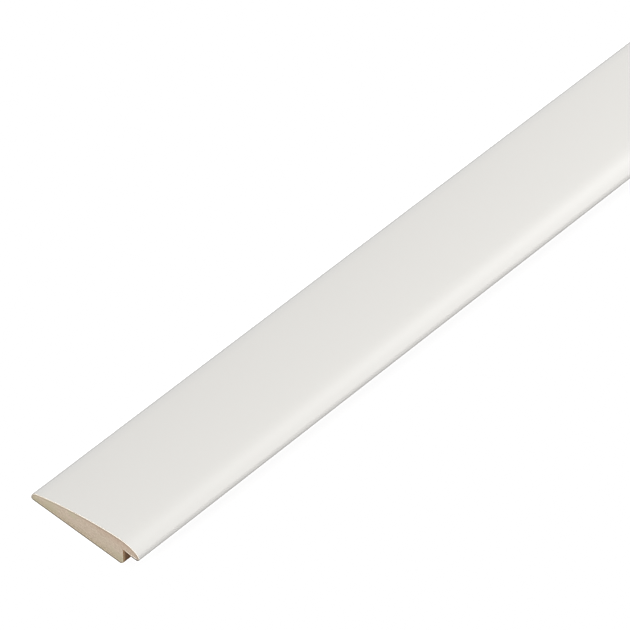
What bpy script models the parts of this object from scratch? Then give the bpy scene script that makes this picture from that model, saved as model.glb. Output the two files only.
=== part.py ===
"""Tile edge trim: a ramp moulding whose lip laps over the edge of a field of tiles.

It lies on its flat back, cut square at both ends. X runs across it, from the thin
edge to the nose of the lip, Y runs along it and Z stands up from the back.
The origin is on the back, in the middle of the width and of the length.
All sizes are in metres, and angles in degrees.
"""
import math

import bmesh
import bpy
from mathutils import Vector
from mathutils.geometry import interpolate_bezier

# Overall
LENGTH = 0.270
WIDTH = 0.043

# Thin edge, where the slope ends: a low upright face, rounded above and eased below
EDGE_HEIGHT = 0.00075
EDGE_RADIUS = 0.0030
EDGE_EASE = 0.0003

# Rebate under the lip, which takes the tiles. The lip hangs lower at its nose than at its
# root. The coat is wrapped round the nose and ends a little way in under the lip, where its
# end stands down a little from the bare board, on the level land that bears on the tiles.
REBATE_HEIGHT = 0.0066
LIP_REACH = 0.0066
LIP_THICKNESS = 0.00375
NOSE_DROP = 0.0005
NOSE_RADIUS = 0.0014
COAT_WRAP = 0.0031
COAT_STEP = 0.00015
FOOT_CHAMFER = 0.0010

# Face: it climbs from the thin edge to the summit, then falls over the shoulder to the nose
SUMMIT_SETBACK = 0.0070
SLOPE_AT_EDGE = 18.5
SLOPE_AT_NOSE = 30.5

# How far each end of a curve holds its direction, as shares of the curve's own chord
CROWN_HOLD = (0.45, 0.10)
SHOULDER_HOLD = (0.45, 0.35)

# Facets
CROWN_STEPS = 56
SHOULDER_STEPS = 20
EDGE_STEPS = 10
NOSE_STEPS = 20

THICKNESS = REBATE_HEIGHT + LIP_THICKNESS
COAT_LAND = REBATE_HEIGHT - NOSE_DROP


def clear_scene():
    for item in list(bpy.data.objects):
        bpy.data.objects.remove(item)


def heading(degrees):
    """The unit vector that points that many degrees above +X in the section."""
    angle = math.radians(degrees)
    return Vector((math.cos(angle), math.sin(angle)))


def arc(centre, radius, start, end, steps):
    """Points round a centre from one heading to another, both ends among them."""
    turn = (end - start) / steps
    return [centre + radius * heading(start + turn * step) for step in range(steps + 1)]


def curve(start, start_slope, end, end_slope, hold, steps):
    """Points of a smooth curve that leaves and arrives at given slopes."""
    chord = (end - start).length
    start_handle = start + heading(start_slope) * chord * hold[0]
    end_handle = end - heading(end_slope) * chord * hold[1]
    return interpolate_bezier(start, start_handle, end_handle, end, steps + 1)


def coated_outline():
    """The part of the section that the coat covers, from the thin edge to its end under the lip."""
    edge_centre = Vector((EDGE_RADIUS, EDGE_HEIGHT))
    edge = arc(edge_centre, EDGE_RADIUS, 180, 90 + SLOPE_AT_EDGE, EDGE_STEPS)

    summit = Vector((WIDTH - SUMMIT_SETBACK, THICKNESS))
    crown = curve(edge[-1], SLOPE_AT_EDGE, summit, 0, CROWN_HOLD, CROWN_STEPS)

    nose_centre = Vector((WIDTH - NOSE_RADIUS, COAT_LAND + NOSE_RADIUS))
    nose = arc(nose_centre, NOSE_RADIUS, 90 - SLOPE_AT_NOSE, -90, NOSE_STEPS)

    shoulder = curve(summit, 0, nose[0], -SLOPE_AT_NOSE, SHOULDER_HOLD, SHOULDER_STEPS)
    coat_end = Vector((WIDTH - COAT_WRAP, COAT_LAND))
    return edge + crown[1:] + shoulder[1:] + nose[1:] + [coat_end]


def bare_outline():
    """The part of the section that is bare board: the lip's underside, the riser and the back."""
    riser = WIDTH - LIP_REACH
    return [
        Vector((WIDTH - COAT_WRAP, COAT_LAND + COAT_STEP)),
        Vector((riser, REBATE_HEIGHT)),
        Vector((riser, FOOT_CHAMFER)),
        Vector((riser - FOOT_CHAMFER, 0)),
        Vector((EDGE_EASE, 0)),
        Vector((0, EDGE_EASE)),
    ]


def make_material(name, colour, roughness):
    material = bpy.data.materials.new(name)
    material.use_nodes = True
    shader = material.node_tree.nodes["Principled BSDF"]
    shader.inputs["Base Color"].default_value = (*colour, 1)
    shader.inputs["Roughness"].default_value = roughness
    shader.inputs["Metallic"].default_value = 0
    return material


def make_trim():
    """The section, run along the length and closed by a square cut at each end."""
    coated = coated_outline()
    section = coated + bare_outline()
    mesh = bpy.data.meshes.new("tile_trim")
    mesh.materials.append(make_material("white_coat", (0.78, 0.775, 0.755), 0.35))
    mesh.materials.append(make_material("fibreboard", (0.54, 0.43, 0.33), 0.85))

    shape = bmesh.new()
    near = [shape.verts.new((point.x, 0, point.y)) for point in section]
    near_end = shape.faces.new(near)
    grown = bmesh.ops.extrude_face_region(shape, geom=[near_end])["geom"]
    far = [item for item in grown if isinstance(item, bmesh.types.BMVert)]
    bmesh.ops.translate(shape, verts=far, vec=(0, LENGTH, 0))
    bmesh.ops.recalc_face_normals(shape, faces=shape.faces)

    coated_verts = set(near[: len(coated)])
    for face in shape.faces:
        at_near_end = [vert for vert in face.verts if vert.co.y == 0]
        is_coated = len(at_near_end) == 2 and coated_verts.issuperset(at_near_end)
        face.material_index = 0 if is_coated else 1
    shape.to_mesh(mesh)
    shape.free()

    mesh.shade_smooth()
    mesh.set_sharp_from_angle(angle=math.radians(30))
    trim = bpy.data.objects.new("tile_trim", mesh)
    trim.location = (-WIDTH / 2, -LENGTH / 2, 0)
    bpy.context.scene.collection.objects.link(trim)


clear_scene()
make_trim()
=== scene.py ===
"""Looks of the tile edge trim: a white coated ramp moulding, seen over its cut end.

The solid is dressed with the two things that the real trim is made of: the fibreboard
that it is planed from, and the thin white film on its face. All sizes are in metres.
X runs across the trim, Y along it and Z up, as in the solid.
"""
import math
import random

import bmesh
import bpy
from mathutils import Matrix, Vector, kdtree, noise
from mathutils.geometry import delaunay_2d_cdt, intersect_point_line


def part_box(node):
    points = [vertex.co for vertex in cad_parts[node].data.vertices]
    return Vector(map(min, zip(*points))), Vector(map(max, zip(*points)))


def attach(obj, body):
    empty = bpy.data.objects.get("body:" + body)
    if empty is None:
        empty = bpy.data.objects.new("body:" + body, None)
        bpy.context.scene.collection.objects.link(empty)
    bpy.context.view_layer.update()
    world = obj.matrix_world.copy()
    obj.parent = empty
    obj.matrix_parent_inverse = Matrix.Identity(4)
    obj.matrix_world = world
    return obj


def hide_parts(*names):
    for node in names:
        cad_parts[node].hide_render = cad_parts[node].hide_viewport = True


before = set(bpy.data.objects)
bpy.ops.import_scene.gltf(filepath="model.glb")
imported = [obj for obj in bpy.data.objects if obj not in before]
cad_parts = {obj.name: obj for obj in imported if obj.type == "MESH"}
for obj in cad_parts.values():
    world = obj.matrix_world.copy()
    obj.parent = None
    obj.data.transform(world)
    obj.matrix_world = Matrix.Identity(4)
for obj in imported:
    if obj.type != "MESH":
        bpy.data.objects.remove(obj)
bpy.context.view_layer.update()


# The camera: a long lens that looks down on the trim over its near cut end, from the side of
# the nose. Its angles, distance and lens are read from where the long edges and the end lie.
CAMERA_AZIMUTH = math.radians(43.15)
CAMERA_ELEVATION = math.radians(45.58)
CAMERA_DISTANCE = 1.4103
LENS_MM = 275.9
POINT_IN_THE_MIDDLE = Vector((-0.01271, -0.02756, 0.00015))

towards_camera = Vector((
    math.sin(CAMERA_AZIMUTH) * math.cos(CAMERA_ELEVATION),
    -math.cos(CAMERA_AZIMUTH) * math.cos(CAMERA_ELEVATION),
    math.sin(CAMERA_ELEVATION),
))
camera = bpy.data.objects.new("camera", bpy.data.cameras.new("camera"))
camera.data.lens = LENS_MM
camera.data.sensor_width = 36
camera.data.clip_end = 20
camera.location = POINT_IN_THE_MIDDLE + towards_camera * CAMERA_DISTANCE
camera.rotation_euler = (-towards_camera).to_track_quat("-Z", "Y").to_euler()
bpy.context.scene.collection.objects.link(camera)
bpy.context.scene.camera = camera


# The board: medium density fibreboard, planed to section in one pass and sawn square to length.
# It shows bare at the cut ends, on the back and in the rebate. The film hides the rest of it.
FILM_THICKNESS = 0.0004
BARE_CORNERS = 5  # of the underside of the lip, the rebate's wall and the back
SAME_PLACE = 1e-6  # points nearer to each other than this are one
ARRIS = 0.00008
SAWN_RECESS = 0.00005  # the saw leaves the board's fibres this far behind the film's cut edge
RING_SPACING = 0.0045
SHARP_FROM = math.radians(30)  # an edge that turns by less than this is shaded smooth

SAWN_GRID = 0.00024  # spacing of the points on a sawn end
SAWN_GRID_SHAKE = (0.2, 0.8)  # where in its own cell of that grid each point may lie
SAWN_SEED = 7
SAW_CENTRE = Vector((0.045, -0.088))  # of the saw's arcs, in X and Z
SAW_MARK_PITCH = 0.0013
SAW_MARK_DEPTH = 0.000018
TORN_DEPTH = 0.00003
TORN_SIZE = 0.0005

GLUE_RIM = 0.00045  # how far in from the film the dark of the glue line goes
RIM_LINES = (0.33, 0.66, 1.0)  # the shares of that at which the end has a line of points
GLUE_THIN_BELOW = 0.0022  # heights between which the glue line fades in, from the thin edge up
GLUE_THICK_ABOVE = 0.0085
TIP_GLUE_AND_SHADE = 0.60  # how much of the same dark lies over the tip of the lip: the glue's dark there, with painted shade
TIP_LENGTH = 0.0024
PALE_RIM = 0.0003  # how far in from the lip's lower edge the pale line goes: a painted highlight, partly fibres torn pale by the cutter
PALE_FROM_WALL = 0.0016  # where the pale line has its full strength, out from the rebate's wall

TUFT_SPAN = (0.25, 0.75)  # levels of the noise over which a tuft goes from dark to light
PATCH_SPAN = (0.42, 0.66)  # levels of the noise over which a patch goes from beige to olive
MOST_OLIVE = 0.8

SAWN_TUFTS = 1900.0  # tufts and patches to a metre
SAWN_PATCHES = 210.0
SAWN_ROUGHNESS = 0.9
SAWN_NAP = 0.00005  # the height of the fibres' finest relief, and how strongly it shows
SAWN_NAP_STRENGTH = 0.5
SAWN_DARK = (0.488, 0.392, 0.297, 1)
SAWN_LIGHT = (0.640, 0.534, 0.427, 1)
SAWN_OLIVE = (0.522, 0.462, 0.330, 1)
SAWN_PATTERN_PLACE = (-0.034, 0.032, -0.192)  # puts the patches where the near end has them
GLUE_AND_TIP_SHADE_COLOUR = (0.330, 0.265, 0.205, 1)
PALE_AND_HIGHLIGHT_COLOUR = (0.860, 0.750, 0.620, 1)
SKIN_AND_SHADOW_TINTS = {  # share of the board's thickness, and what the dense skins there do to its colour; the dark at the foot is painted contact shadow too
    0.0: (0.220, 0.220, 0.240, 1),
    0.035: (0.560, 0.560, 0.560, 1),
    0.06: (0.905, 0.915, 0.850, 1),
    0.30: (1.0, 1.0, 1.0, 1),
    0.60: (1.0, 1.0, 1.0, 1),
    0.85: (0.930, 0.870, 0.850, 1),
}

PLANED_TUFTS = 1400.0
PLANED_PATCHES = 120.0
PLANED_DRAWN_OUT = (1, 0.4, 1)  # the cutter draws the tufts out along the trim
PLANED_ROUGHNESS = 0.75
PLANED_NAP = 0.00004
PLANED_NAP_STRENGTH = 0.35
KNIFE_MARK_PITCH = 0.0014
KNIFE_MARK_DEPTH = 0.000012
KNIFE_MARK_STRENGTH = 0.5
KNIFE_MARK_WOBBLE = 0.4
WAVE_PITCH = 2 * math.pi / 20  # from band to band of a wave texture whose scale is 1
# painted shade: these browns are darkened for the shade in the rebate, over the planed board's own
# darker colour
PLANED_SHADED_DARK = (0.184, 0.091, 0.044, 1)
PLANED_SHADED_LIGHT = (0.288, 0.151, 0.080, 1)
PLANED_SHADED_OLIVE = (0.237, 0.131, 0.065, 1)
END_LIGHT_TINT = (2.900, 3.600, 4.050, 1)  # painted light: how much lighter the planed colour is beside an end, where light reaches into the rebate
END_LIGHT_REACH = 0.0014
SANDED = (2.000, 2.700, 3.600, 1)  # what sanding did to it on the back, the face of the sheet
SANDED_HEIGHT = 0.0003

low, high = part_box("tile_trim")
half_length = (high.y - low.y) / 2


def section_of(node):
    """The outline of a straight moulding's near end, from the foot of its thin edge upwards."""
    solid = bmesh.new()
    solid.from_mesh(node.data)
    bmesh.ops.remove_doubles(solid, verts=solid.verts, dist=SAME_PLACE)
    near = min(vert.co.y for vert in solid.verts)
    end_faces = [f for f in solid.faces if all(abs(v.co.y - near) < SAME_PLACE for v in f.verts)]
    (end,) = bmesh.ops.dissolve_faces(solid, faces=end_faces)["region"]
    outline = [Vector((vert.co.x, vert.co.z)) for vert in end.verts]
    solid.free()
    if sum(a.cross(b) for a, b in zip(outline, outline[1:] + outline[:1])) > 0:
        outline.reverse()
    foot = min(range(len(outline)), key=lambda i: (round(outline[i].x, 6), outline[i].y))
    return outline[foot:] + outline[:foot]


def moved_in(points, distance, closed=False):
    """The same line, this far to its right, with mitred corners. An open one keeps square ends."""
    count = len(points)
    moved = []
    for i, point in enumerate(points):
        before = points[i - 1] if closed or i > 0 else None
        after = points[(i + 1) % count] if closed or i < count - 1 else None
        runs = []
        if before is not None:
            runs.append((point - before).normalized())
        if after is not None:
            runs.append((after - point).normalized())
        rights = [Vector((run.y, -run.x)) for run in runs]
        mitre = sum(rights, Vector((0, 0))).normalized()
        moved.append(point + mitre * distance / mitre.dot(rights[0]))
    return moved


def add_node(tree, kind, inputs=None, **settings):
    """A node with its settings made, and each input given a value or joined to a socket."""
    node = tree.nodes.new(kind)
    for name, value in settings.items():
        setattr(node, name, value)
    for name, value in (inputs or {}).items():
        if isinstance(value, bpy.types.NodeSocket):
            tree.links.new(value, node.inputs[name])
        else:
            node.inputs[name].default_value = value
    return node


def moulding_run_tree():
    """Geometry nodes that run an upright section, drawn as a loop of edges, along the length."""
    tree = bpy.data.node_groups.new("moulding run", "GeometryNodeTree")
    tree.is_modifier = True
    tree.interface.new_socket("Section", in_out="INPUT", socket_type="NodeSocketGeometry")
    tree.interface.new_socket("Length", in_out="INPUT", socket_type="NodeSocketFloat")
    tree.interface.new_socket("Ring Spacing", in_out="INPUT", socket_type="NodeSocketFloat")
    tree.interface.new_socket("Material", in_out="INPUT", socket_type="NodeSocketMaterial")
    tree.interface.new_socket("Moulding", in_out="OUTPUT", socket_type="NodeSocketGeometry")
    given = tree.nodes.new("NodeGroupInput").outputs

    half = add_node(tree, "ShaderNodeMath", {0: given["Length"], 1: 0.5}, operation="MULTIPLY")
    far = add_node(tree, "ShaderNodeCombineXYZ", {"Y": half.outputs[0]})
    near = add_node(
        tree, "ShaderNodeVectorMath", {0: far.outputs[0], "Scale": -1.0}, operation="SCALE"
    )
    line = add_node(
        tree, "GeometryNodeCurvePrimitiveLine", {"Start": near.outputs[0], "End": far.outputs[0]}
    )
    rings = add_node(
        tree,
        "GeometryNodeResampleCurve",
        {"Curve": line.outputs[0], "Length": given["Ring Spacing"]},
        mode="LENGTH",
    )
    path = add_node(tree, "GeometryNodeSetCurveNormal", {"Curve": rings.outputs[0]}, mode="Z_UP")

    loop = add_node(tree, "GeometryNodeMeshToCurve", {"Mesh": given["Section"]})
    laid_flat = add_node(
        tree,
        "GeometryNodeTransform",
        {"Geometry": loop.outputs[0], "Rotation": (math.radians(90), 0, 0)},
    )
    run = add_node(
        tree,
        "GeometryNodeCurveToMesh",
        {"Curve": path.outputs[0], "Profile Curve": laid_flat.outputs[0]},
    )
    real = add_node(tree, "GeometryNodeRealizeInstances", {"Geometry": run.outputs[0]})
    dressed = add_node(
        tree,
        "GeometryNodeSetMaterial",
        {"Geometry": real.outputs[0], "Material": given["Material"]},
    )
    add_node(tree, "NodeGroupOutput", {"Moulding": dressed.outputs[0]})
    return tree


def run_moulding(name, section, length, material):
    """A plain mesh piece: the section, run along the length and centred on it, with open ends."""
    drawn = bpy.data.meshes.new(name)
    corners = [(point.x, 0, point.y) for point in section]
    sides = [(i, (i + 1) % len(corners)) for i in range(len(corners))]
    drawn.from_pydata(corners, sides, [])
    piece = bpy.data.objects.new(name, drawn)
    bpy.context.scene.collection.objects.link(piece)

    run = piece.modifiers.new("moulding run", "NODES")
    run.node_group = moulding_tree
    wanted = {"Length": length, "Ring Spacing": RING_SPACING, "Material": material}
    for socket in moulding_tree.interface.items_tree:
        if socket.name in wanted:
            run[socket.identifier] = wanted[socket.name]
    evaluated = piece.evaluated_get(bpy.context.evaluated_depsgraph_get())
    made = bpy.data.meshes.new_from_object(evaluated)
    piece.modifiers.remove(run)
    piece.data = made
    made.name = name
    bpy.data.meshes.remove(drawn)
    return piece


def fibre_group():
    """Shader nodes for felted wood fibre: three colours in tufts and patches, and fine relief."""
    tree = bpy.data.node_groups.new("felted fibre", "ShaderNodeTree")
    for name, kind in (
        ("Vector", "Vector"), ("Tuft Scale", "Float"), ("Patch Scale", "Float"),
        ("Dark", "Color"), ("Light", "Color"), ("Olive", "Color"),
    ):
        tree.interface.new_socket(name, in_out="INPUT", socket_type="NodeSocket" + kind)
    tree.interface.new_socket("Color", in_out="OUTPUT", socket_type="NodeSocketColor")
    tree.interface.new_socket("Relief", in_out="OUTPUT", socket_type="NodeSocketFloat")
    given = tree.nodes.new("NodeGroupInput").outputs

    tufts = add_node(
        tree,
        "ShaderNodeTexNoise",
        {
            "Vector": given["Vector"],
            "Scale": given["Tuft Scale"],
            "Detail": 3.0,
            "Roughness": 0.6,
            "Distortion": 0.8,
        },
    )
    patches = add_node(
        tree,
        "ShaderNodeTexNoise",
        {"Vector": given["Vector"], "Scale": given["Patch Scale"], "Detail": 2.0},
    )
    tone = add_node(
        tree,
        "ShaderNodeMapRange",
        {"Value": tufts.outputs["Fac"], "From Min": TUFT_SPAN[0], "From Max": TUFT_SPAN[1]},
    )
    olive = add_node(
        tree,
        "ShaderNodeMapRange",
        {
            "Value": patches.outputs["Fac"],
            "From Min": PATCH_SPAN[0],
            "From Max": PATCH_SPAN[1],
            "To Max": MOST_OLIVE,
        },
        interpolation_type="SMOOTHSTEP",
    )
    beige = mixed_colour(tree, tone.outputs["Result"], given["Dark"], given["Light"])
    colour = mixed_colour(tree, olive.outputs["Result"], beige, given["Olive"])
    add_node(tree, "NodeGroupOutput", {"Color": colour, "Relief": tufts.outputs["Fac"]})
    return tree


def mixed_colour(tree, share, first, second, blend_type="MIX"):
    """The output of a node that mixes two colours by a share of the second."""
    mix = add_node(
        tree,
        "ShaderNodeMix",
        {0: share, 6: first, 7: second},  # the sockets for colours; others share their names
        data_type="RGBA",
        blend_type=blend_type,
    )
    return mix.outputs[2]


def new_material(name, **values):
    """A material with its shader's plain values set, and its node tree and shader to build on."""
    material = bpy.data.materials.new(name)
    material.use_nodes = True
    shader = material.node_tree.nodes["Principled BSDF"]
    for socket, value in values.items():
        shader.inputs[socket.replace("_", " ")].default_value = value
    return material, material.node_tree, shader


def sawn_end_material():
    """Sawn fibreboard: pale and patchy, darker in its dense skins, with painted contact shadow
    along its foot, and darker along the glue line.
    """
    material, tree, shader = new_material("sawn_end", Roughness=SAWN_ROUGHNESS)
    where = add_node(tree, "ShaderNodeTexCoord").outputs["Object"]
    placed = add_node(
        tree, "ShaderNodeMapping", {"Vector": where, "Location": SAWN_PATTERN_PLACE}
    )
    fibre = add_node(
        tree,
        "ShaderNodeGroup",
        {
            "Vector": placed.outputs["Vector"],
            "Tuft Scale": SAWN_TUFTS,
            "Patch Scale": SAWN_PATCHES,
            "Dark": SAWN_DARK,
            "Light": SAWN_LIGHT,
            "Olive": SAWN_OLIVE,
        },
        node_tree=fibre_tree,
    )
    rim = add_node(tree, "ShaderNodeAttribute", attribute_name="glue_rim_and_tip_shade").outputs["Fac"]
    pale = add_node(tree, "ShaderNodeAttribute", attribute_name="pale_and_highlight_rim").outputs["Fac"]
    height = add_node(tree, "ShaderNodeSeparateXYZ", {"Vector": where}).outputs["Z"]
    share = add_node(tree, "ShaderNodeMath", {0: height, 1: high.z}, operation="DIVIDE")
    # painted contact shadow: the tints darken the end at its foot, along with its dense skin
    skins_and_shadow = add_node(tree, "ShaderNodeValToRGB", {"Fac": share.outputs[0]})
    stops = skins_and_shadow.color_ramp.elements
    stops.remove(stops[1])
    for place, tint in SKIN_AND_SHADOW_TINTS.items():
        stop = stops[0] if place == 0.0 else stops.new(place)
        stop.color = tint
    skinned_and_shaded = mixed_colour(tree, 1.0, fibre.outputs["Color"], skins_and_shadow.outputs["Color"], "MULTIPLY")
    lined = mixed_colour(tree, rim, skinned_and_shaded, GLUE_AND_TIP_SHADE_COLOUR)
    # the pale line along the lip's lower edge: a painted highlight, partly pale torn fibres
    colour = mixed_colour(tree, pale, lined, PALE_AND_HIGHLIGHT_COLOUR)
    bump = add_node(
        tree,
        "ShaderNodeBump",
        {
            "Strength": SAWN_NAP_STRENGTH,
            "Distance": SAWN_NAP,
            "Height": fibre.outputs["Relief"],
        },
    )
    tree.links.new(colour, shader.inputs["Base Color"])
    tree.links.new(bump.outputs["Normal"], shader.inputs["Normal"])
    return material


def planed_board_material():
    """Planed fibreboard: darker and closer than where it is sawn, that dark partly painted shade
    for the rebate, lighter beside each end with painted light, and paler on its sanded back.
    """
    material, tree, shader = new_material("planed_board", Roughness=PLANED_ROUGHNESS)
    where = add_node(tree, "ShaderNodeTexCoord").outputs["Object"]
    along = add_node(tree, "ShaderNodeMapping", {"Vector": where, "Scale": PLANED_DRAWN_OUT})
    fibre = add_node(
        tree,
        "ShaderNodeGroup",
        {
            "Vector": along.outputs["Vector"],
            "Tuft Scale": PLANED_TUFTS,
            "Patch Scale": PLANED_PATCHES,
            "Dark": PLANED_SHADED_DARK,
            "Light": PLANED_SHADED_LIGHT,
            "Olive": PLANED_SHADED_OLIVE,
        },
        node_tree=fibre_tree,
    )
    knife_marks = add_node(
        tree,
        "ShaderNodeTexWave",
        {
            "Vector": where,
            "Scale": WAVE_PITCH / KNIFE_MARK_PITCH,
            "Distortion": KNIFE_MARK_WOBBLE,
        },
        bands_direction="Y",
    )
    cut = add_node(
        tree,
        "ShaderNodeBump",
        {
            "Strength": KNIFE_MARK_STRENGTH,
            "Distance": KNIFE_MARK_DEPTH,
            "Height": knife_marks.outputs["Fac"],
        },
    )
    bump = add_node(
        tree,
        "ShaderNodeBump",
        {
            "Strength": PLANED_NAP_STRENGTH,
            "Distance": PLANED_NAP,
            "Height": fibre.outputs["Relief"],
            "Normal": cut.outputs["Normal"],
        },
    )
    place = add_node(tree, "ShaderNodeSeparateXYZ", {"Vector": where}).outputs
    from_middle = add_node(tree, "ShaderNodeMath", {0: place["Y"]}, operation="ABSOLUTE")
    # painted light: lighter beside each open end of the rebate, darker deeper in
    end_light = add_node(
        tree,
        "ShaderNodeMapRange",
        {
            "Value": from_middle.outputs[0],
            "From Min": half_length - END_LIGHT_REACH,
            "From Max": half_length,
        },
        interpolation_type="SMOOTHSTEP",
    )
    lit_near_end = mixed_colour(tree, 1.0, fibre.outputs["Color"], END_LIGHT_TINT, "MULTIPLY")
    planed = mixed_colour(tree, end_light.outputs["Result"], fibre.outputs["Color"], lit_near_end)
    above_back = add_node(
        tree, "ShaderNodeMapRange", {"Value": place["Z"], "From Max": SANDED_HEIGHT}
    )
    sanded = mixed_colour(tree, 1.0, fibre.outputs["Color"], SANDED, "MULTIPLY")
    colour = mixed_colour(tree, above_back.outputs["Result"], sanded, planed)
    tree.links.new(colour, shader.inputs["Base Color"])
    tree.links.new(bump.outputs["Normal"], shader.inputs["Normal"])
    return material


def saw_off(mesh, outline, coated_count):
    """Closes both ends of a run of this outline with a softened arris and a sawn face."""
    face_outline = moved_in(outline, ARRIS, closed=True)
    glue_line = face_outline[:coated_count]
    rim_lines = [moved_in(glue_line, GLUE_RIM * share) for share in RIM_LINES]
    scattered = scatter_inside(face_outline)
    flat = face_outline + [point for line in rim_lines for point in line[1:-1]] + scattered
    border = list(range(len(face_outline)))
    inside_only = 1
    tolerance = 1e-7
    points, _, faces, sources, _, _ = delaunay_2d_cdt(flat, [], [border], inside_only, tolerance)

    nose = max(range(coated_count), key=lambda i: glue_line[i].x)
    from_glue = kdtree.KDTree(nose)
    for i, point in enumerate(glue_line[:nose]):
        from_glue.insert((point.x, point.y, 0), i)
    from_glue.balance()
    under_nose = min(range(nose, coated_count), key=lambda i: round(glue_line[i].y, 6))
    lip_line = face_outline[under_nose:coated_count + 2]

    shape = bmesh.new()
    shape.from_mesh(mesh)
    for name in ("glue_rim_and_tip_shade", "pale_and_highlight_rim"):
        shape.verts.layers.float.new(name)  # which moves the others, so both are fetched after it
    rim = shape.verts.layers.float["glue_rim_and_tip_shade"]
    pale = shape.verts.layers.float["pale_and_highlight_rim"]
    shape.verts.ensure_lookup_table()
    count = len(outline)
    for ring, side in ((shape.verts[:count], -1), (shape.verts[-count:], 1)):
        face_y = side * (half_length - SAWN_RECESS)
        made = {}
        for index in sorted({corner for face in faces for corner in face}):
            point = points[index]
            sunk = sawn_relief(point, side)
            vert = shape.verts.new((point.x, face_y - side * sunk, point.y))
            vert[rim] = glue_share(point, from_glue)
            vert[pale] = pale_and_highlight_share(point, lip_line)
            made[index] = vert
        for face in faces:
            corners = [made[corner] for corner in face]
            shape.faces.new(corners if side < 0 else corners[::-1]).material_index = 1
        at_border = {}
        for index, vert in made.items():
            for source in sources[index]:
                at_border[source] = vert
        for i in range(count):
            j = (i + 1) % count
            arris = [ring[i], at_border[i], at_border[j], ring[j]]
            shape.faces.new(arris if side < 0 else arris[::-1]).material_index = 1
    shape.to_mesh(mesh)
    shape.free()


def glue_share(point, from_glue):
    """How much of the glue line's dark, with painted shade over the lip's tip, shows at a point of
    an end.
    """
    _, _, distance = from_glue.find((point.x, point.y, 0))
    height = (point.y - GLUE_THIN_BELOW) / (GLUE_THICK_ABOVE - GLUE_THIN_BELOW)
    line = max(0.0, 1 - distance / GLUE_RIM) * min(max(height, 0.0), 1.0)
    # the tip of the lip takes the same dark: glue, with painted shade
    return max(line, TIP_GLUE_AND_SHADE * (1 - (high.x - point.x) / TIP_LENGTH))


def pale_and_highlight_share(point, lip_line):
    """How much of the pale line along the lip's lower edge, a painted highlight, shows at a point
    of an end.
    """
    distances = []
    for start, end in zip(lip_line, lip_line[1:]):
        _, along = intersect_point_line(point, start, end)
        nearest = start.lerp(end, min(max(along, 0.0), 1.0))
        distances.append((point - nearest).length)
    from_wall = (point.x - lip_line[-1].x) / PALE_FROM_WALL
    return max(0.0, 1 - min(distances) / PALE_RIM) * min(max(from_wall, 0.0), 1.0)


def scatter_inside(outline):
    """Points of a shaken grid over the outline's box. Those outside it are dropped later."""
    rng = random.Random(SAWN_SEED)
    low_x, high_x = min(p.x for p in outline), max(p.x for p in outline)
    low_z, high_z = min(p.y for p in outline), max(p.y for p in outline)
    columns = int((high_x - low_x) / SAWN_GRID)
    rows = int((high_z - low_z) / SAWN_GRID)
    found = []
    for column in range(columns):
        for row in range(rows):
            x = low_x + (column + rng.uniform(*SAWN_GRID_SHAKE)) * SAWN_GRID
            z = low_z + (row + rng.uniform(*SAWN_GRID_SHAKE)) * SAWN_GRID
            found.append(Vector((x, z)))
    return found


def sawn_relief(point, side):
    """How deep the saw's arcs and the torn fibres lie at a point of an end."""
    swing = (point - SAW_CENTRE).length / SAW_MARK_PITCH
    arc = 0.5 + 0.5 * math.sin(2 * math.pi * swing)
    place = Vector((point.x, side, point.y)) / TORN_SIZE
    torn = max(0.0, noise.noise(place))
    return SAW_MARK_DEPTH * arc + TORN_DEPTH * torn


outline = section_of(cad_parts["tile_trim"])
face_line = outline[:-BARE_CORNERS]
film_inside = moved_in(face_line, FILM_THICKNESS)
board_outline = film_inside + outline[-BARE_CORNERS:]

moulding_tree = moulding_run_tree()
fibre_tree = fibre_group()
planed_board = planed_board_material()
sawn_end = sawn_end_material()
board_length = 2 * (half_length - SAWN_RECESS - ARRIS)
board = run_moulding("board", board_outline, board_length, planed_board)
board.data.materials.append(sawn_end)
saw_off(board.data, board_outline, len(film_inside))
board.data.shade_smooth()
board.data.set_sharp_from_angle(angle=SHARP_FROM)
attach(board, "root")
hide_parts("tile_trim")


# The film: a white satin foil, glued over the face, round the thin edge, and round the nose to its
# own end a little way in under the lip, before the trim is cut to length. Its cut edge shows at
# the ends as a pale line, partly a painted highlight, with painted shade where it turns down at
# the nose and round the thin edge.
FILM_COLOUR = (0.818, 0.804, 0.771, 1)
SHADED_EDGE_COLOUR = (0.758, 0.750, 0.732, 1)  # painted shade: the film darker over the thin edge, which turns away from the light
SHADED_EDGE_REACH = 0.0050
PEBBLES = 700.0  # to a metre
PEBBLE_HEIGHT = 0.00002
PEBBLE_STRENGTH = 0.2
SMOOTHEST = 0.34  # the film's roughness, which varies with the pebbles
ROUGHEST = 0.46
FILM_EDGE_ROUGHNESS = 0.6
# painted highlight: the cut edge's cream is brighter than the film, partly for the light its edge
# catches
FILM_EDGE_AND_HIGHLIGHT_COLOUR = (0.905, 0.810, 0.680, 1)
EDGE_SHADE_COLOUR = (0.150, 0.132, 0.118, 1)
EDGE_SHADE_UPRIGHT = 0.34  # painted shade where the film stands upright, and how fast it rises as it turns under
EDGE_SHADE_RISE = 0.7
EDGE_SHADE_AT_TIP = 0.52  # the most painted shade round the thin edge, from where it thins out
TIP_REACH = 0.0022
EDGE_DARK_ALONG_RIM = 0.09  # a little dark along the rest of the edge, which fades out towards the nose


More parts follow.
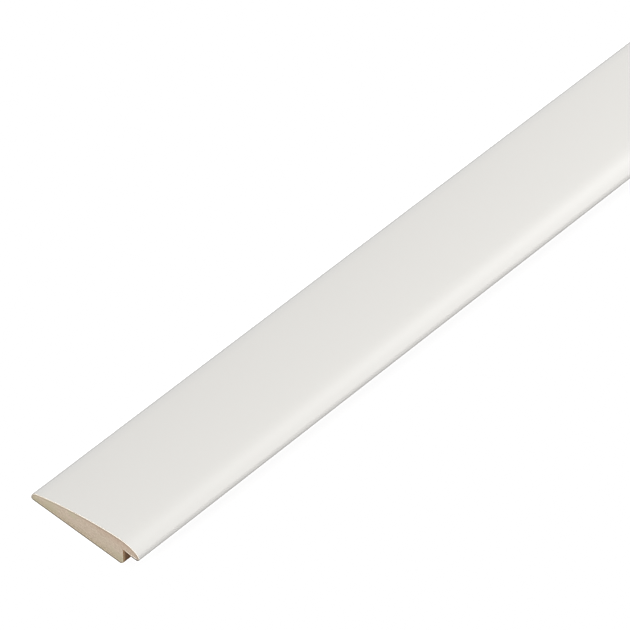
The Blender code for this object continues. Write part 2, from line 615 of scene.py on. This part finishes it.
def white_film_material():
    """Satin white: a faint pebbled surface, a gloss that varies a little, and painted shade over
    the thin edge.
    """
    material, tree, shader = new_material("white_film")
    where = add_node(tree, "ShaderNodeTexCoord").outputs["Object"]
    across = add_node(tree, "ShaderNodeSeparateXYZ", {"Vector": where}).outputs["X"]
    # painted shade: the film darkens towards the thin edge, which faces away from the light
    thin_edge_shade = add_node(
        tree,
        "ShaderNodeMapRange",
        {"Value": across, "From Min": low.x, "From Max": low.x + SHADED_EDGE_REACH},
    )
    colour = mixed_colour(tree, thin_edge_shade.outputs["Result"], SHADED_EDGE_COLOUR, FILM_COLOUR)
    pebbles = add_node(
        tree, "ShaderNodeTexNoise", {"Vector": where, "Scale": PEBBLES, "Detail": 2.0}
    )
    gloss = add_node(
        tree,
        "ShaderNodeMapRange",
        {"Value": pebbles.outputs["Fac"], "To Min": SMOOTHEST, "To Max": ROUGHEST},
    )
    bump = add_node(
        tree,
        "ShaderNodeBump",
        {
            "Strength": PEBBLE_STRENGTH,
            "Distance": PEBBLE_HEIGHT,
            "Height": pebbles.outputs["Fac"],
        },
    )
    tree.links.new(colour, shader.inputs["Base Color"])
    tree.links.new(gloss.outputs["Result"], shader.inputs["Roughness"])
    tree.links.new(bump.outputs["Normal"], shader.inputs["Normal"])
    return material


def film_edge_material():
    """The foil's cut edge: paper and white lacquer, made bright as a painted highlight and
    darkened from outside with painted shade.
    """
    material, tree, shader = new_material("film_edge", Roughness=FILM_EDGE_ROUGHNESS)
    # painted shade over the cut edge where it turns down and round the thin edge
    edge_shade = add_node(tree, "ShaderNodeAttribute", attribute_name="edge_shade").outputs["Fac"]
    colour = mixed_colour(tree, edge_shade, FILM_EDGE_AND_HIGHLIGHT_COLOUR, EDGE_SHADE_COLOUR)
    tree.links.new(colour, shader.inputs["Base Color"])
    return material


def edge_shade_share(line, i):
    """How much painted shade darkens the film's cut edge at a point of its line, from 0 to 1."""
    run = line[min(i + 1, len(line) - 1)] - line[max(i - 1, 0)]
    turned_down = EDGE_SHADE_UPRIGHT - EDGE_SHADE_RISE * run.x / run.length
    in_from_tip = line[i].x - low.x
    at_tip = EDGE_SHADE_AT_TIP * (1 - in_from_tip / TIP_REACH)
    along_rim = EDGE_DARK_ALONG_RIM * (1 - in_from_tip / (high.x - low.x))
    return min(max(turned_down, at_tip, along_rim), 1.0)


def cut_film(mesh, outer_line):
    """Closes both ends of the film's run with a strip between its outer and inner lines."""
    shape = bmesh.new()
    shape.from_mesh(mesh)
    shape.verts.ensure_lookup_table()
    edge_shade = shape.verts.layers.float.new("edge_shade")
    count = len(outer_line)
    for ring, side in ((shape.verts[:2 * count], -1), (shape.verts[-2 * count:], 1)):
        outer, inner = ring[:count], ring[count:][::-1]
        for i in range(count):
            outer[i][edge_shade] = edge_shade_share(outer_line, i)
            inner[i][edge_shade] = outer[i][edge_shade]
        for i in range(count - 1):
            corners = [outer[i], outer[i + 1], inner[i + 1], inner[i]]
            shape.faces.new(corners if side < 0 else corners[::-1]).material_index = 1
    shape.to_mesh(mesh)
    shape.free()


white_film = white_film_material()
film_edge = film_edge_material()
film_section = face_line + film_inside[::-1]
white_coat = run_moulding("white_coat", film_section, 2 * half_length, white_film)
white_coat.data.materials.append(film_edge)
cut_film(white_coat.data, face_line)
white_coat.data.shade_smooth()
white_coat.data.set_sharp_from_angle(angle=SHARP_FROM)
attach(white_coat, "root")
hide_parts("tile_trim")


# The floor: a wide sheet of plain white. To the camera it is pure white but for a faint shadow
# round the trim. It throws back less light than it shows, as a sheet set far below would.
FLOOR_SIZE = 6.0
FLOOR_DROP = 0.00005
FLOOR_SEEN = (0.16, 0.16, 0.16, 1)
FLOOR_THROWN_BACK = (0.66, 0.66, 0.66, 1)
FLOOR_GLOW = 0.915

reach = FLOOR_SIZE / 2
corners = ((-reach, -reach), (reach, -reach), (reach, reach), (-reach, reach))
floor_mesh = bpy.data.meshes.new("floor")
floor_mesh.from_pydata([(x, y, -FLOOR_DROP) for x, y in corners], [], [(0, 1, 2, 3)])
floor = bpy.data.objects.new("floor", floor_mesh)
bpy.context.scene.collection.objects.link(floor)
floor_paper, floor_nodes, floor_shader = new_material(
    "floor_paper", Roughness=1.0, Specular_IOR_Level=0.0, Emission_Color=(1, 1, 1, 1)
)
seen = add_node(floor_nodes, "ShaderNodeLightPath").outputs["Is Camera Ray"]
paper = mixed_colour(floor_nodes, seen, FLOOR_THROWN_BACK, FLOOR_SEEN)
glow = add_node(floor_nodes, "ShaderNodeMath", {0: seen, 1: FLOOR_GLOW}, operation="MULTIPLY")
floor_nodes.links.new(paper, floor_shader.inputs["Base Color"])
floor_nodes.links.new(glow.outputs[0], floor_shader.inputs["Emission Strength"])
floor_mesh.materials.append(floor_paper)


# The light: three large softboxes in a dim white room. The two beyond the trim draw the long
# highlight on the shoulder, and the low one behind the camera lights the cut end.
ROOM_GLOW = 0.44
LAMP_DISTANCE = 1.5
LAMP_SIZE = 0.9
SOFTBOXES = {  # degrees round from +X towards +Y, degrees above the floor, brightness
    "beyond": (90, 48, 4.28),
    "beyond_right": (45, 48, 1.15),
    "low_front": (275, 20, 4.1),
}

for name, (turn, height, brightness) in SOFTBOXES.items():
    turn, height = math.radians(turn), math.radians(height)
    level = math.cos(height)
    away = Vector((level * math.cos(turn), level * math.sin(turn), math.sin(height)))
    lamp = bpy.data.lights.new(name, "AREA")
    lamp.shape = "SQUARE"
    lamp.size = LAMP_SIZE
    lamp.energy = brightness * math.pi * LAMP_SIZE ** 2
    softbox = bpy.data.objects.new(name, lamp)
    softbox.location = away * LAMP_DISTANCE
    softbox.rotation_euler = away.to_track_quat("Z", "Y").to_euler()
    softbox.visible_camera = False
    bpy.context.scene.collection.objects.link(softbox)

room = bpy.data.worlds.new("room")
room.use_nodes = True
room.node_tree.nodes["Background"].inputs["Color"].default_value = (1, 1, 1, 1)
room.node_tree.nodes["Background"].inputs["Strength"].default_value = ROOM_GLOW
bpy.context.scene.world = room
bpy.context.scene.view_settings.view_transform = "Standard"


# The print: like the photograph, its light is sharpened a little, which draws the trim's outline,
# and its colour is kept a little soft. Both are done to the tones as they are seen.
DISPLAY_GAMMA = 2.2
SHARPENING = 0.25
BRIGHTEST_LINE = 0.055
DARKEST_LINE = 0.03
COLOUR_BLUR = 1

scene = bpy.context.scene
scene.use_nodes = True
print_nodes = scene.node_tree
print_nodes.nodes.clear()


def print_step(kind, inputs, **settings):
    """One step of the print, whose result is its node's first output."""
    return add_node(print_nodes, kind, inputs, **settings).outputs[0]


rendered = add_node(print_nodes, "CompositorNodeRLayers").outputs["Image"]
white = (1, 1, 1, 1)
no_brighter = print_step("CompositorNodeMixRGB", {1: rendered, 2: white}, blend_type="DARKEN")
tones = print_step("CompositorNodeGamma", {"Image": no_brighter, "Gamma": 1 / DISPLAY_GAMMA})
light = print_step("CompositorNodeRGBToBW", {"Image": tones})
crisp = print_step(
    "CompositorNodeFilter", {"Fac": SHARPENING, "Image": light}, filter_type="SHARPEN_DIAMOND"
)
line = print_step("CompositorNodeMath", {0: crisp, 1: light}, operation="SUBTRACT")
line = print_step("CompositorNodeMath", {0: line, 1: BRIGHTEST_LINE}, operation="MINIMUM")
line = print_step("CompositorNodeMath", {0: line, 1: -DARKEST_LINE}, operation="MAXIMUM")
soft = print_step(
    "CompositorNodeBlur",
    {"Image": tones},
    filter_type="GAUSS",
    size_x=COLOUR_BLUR,
    size_y=COLOUR_BLUR,
)
soft_light = print_step("CompositorNodeRGBToBW", {"Image": soft})
wanted_light = print_step("CompositorNodeMath", {0: light, 1: line}, operation="ADD")
missing = print_step("CompositorNodeMath", {0: wanted_light, 1: soft_light}, operation="SUBTRACT")
toned = print_step("CompositorNodeMixRGB", {1: soft, 2: missing}, blend_type="ADD")
finished = print_step("CompositorNodeGamma", {"Image": toned, "Gamma": DISPLAY_GAMMA})
add_node(print_nodes, "CompositorNodeComposite", {"Image": finished})
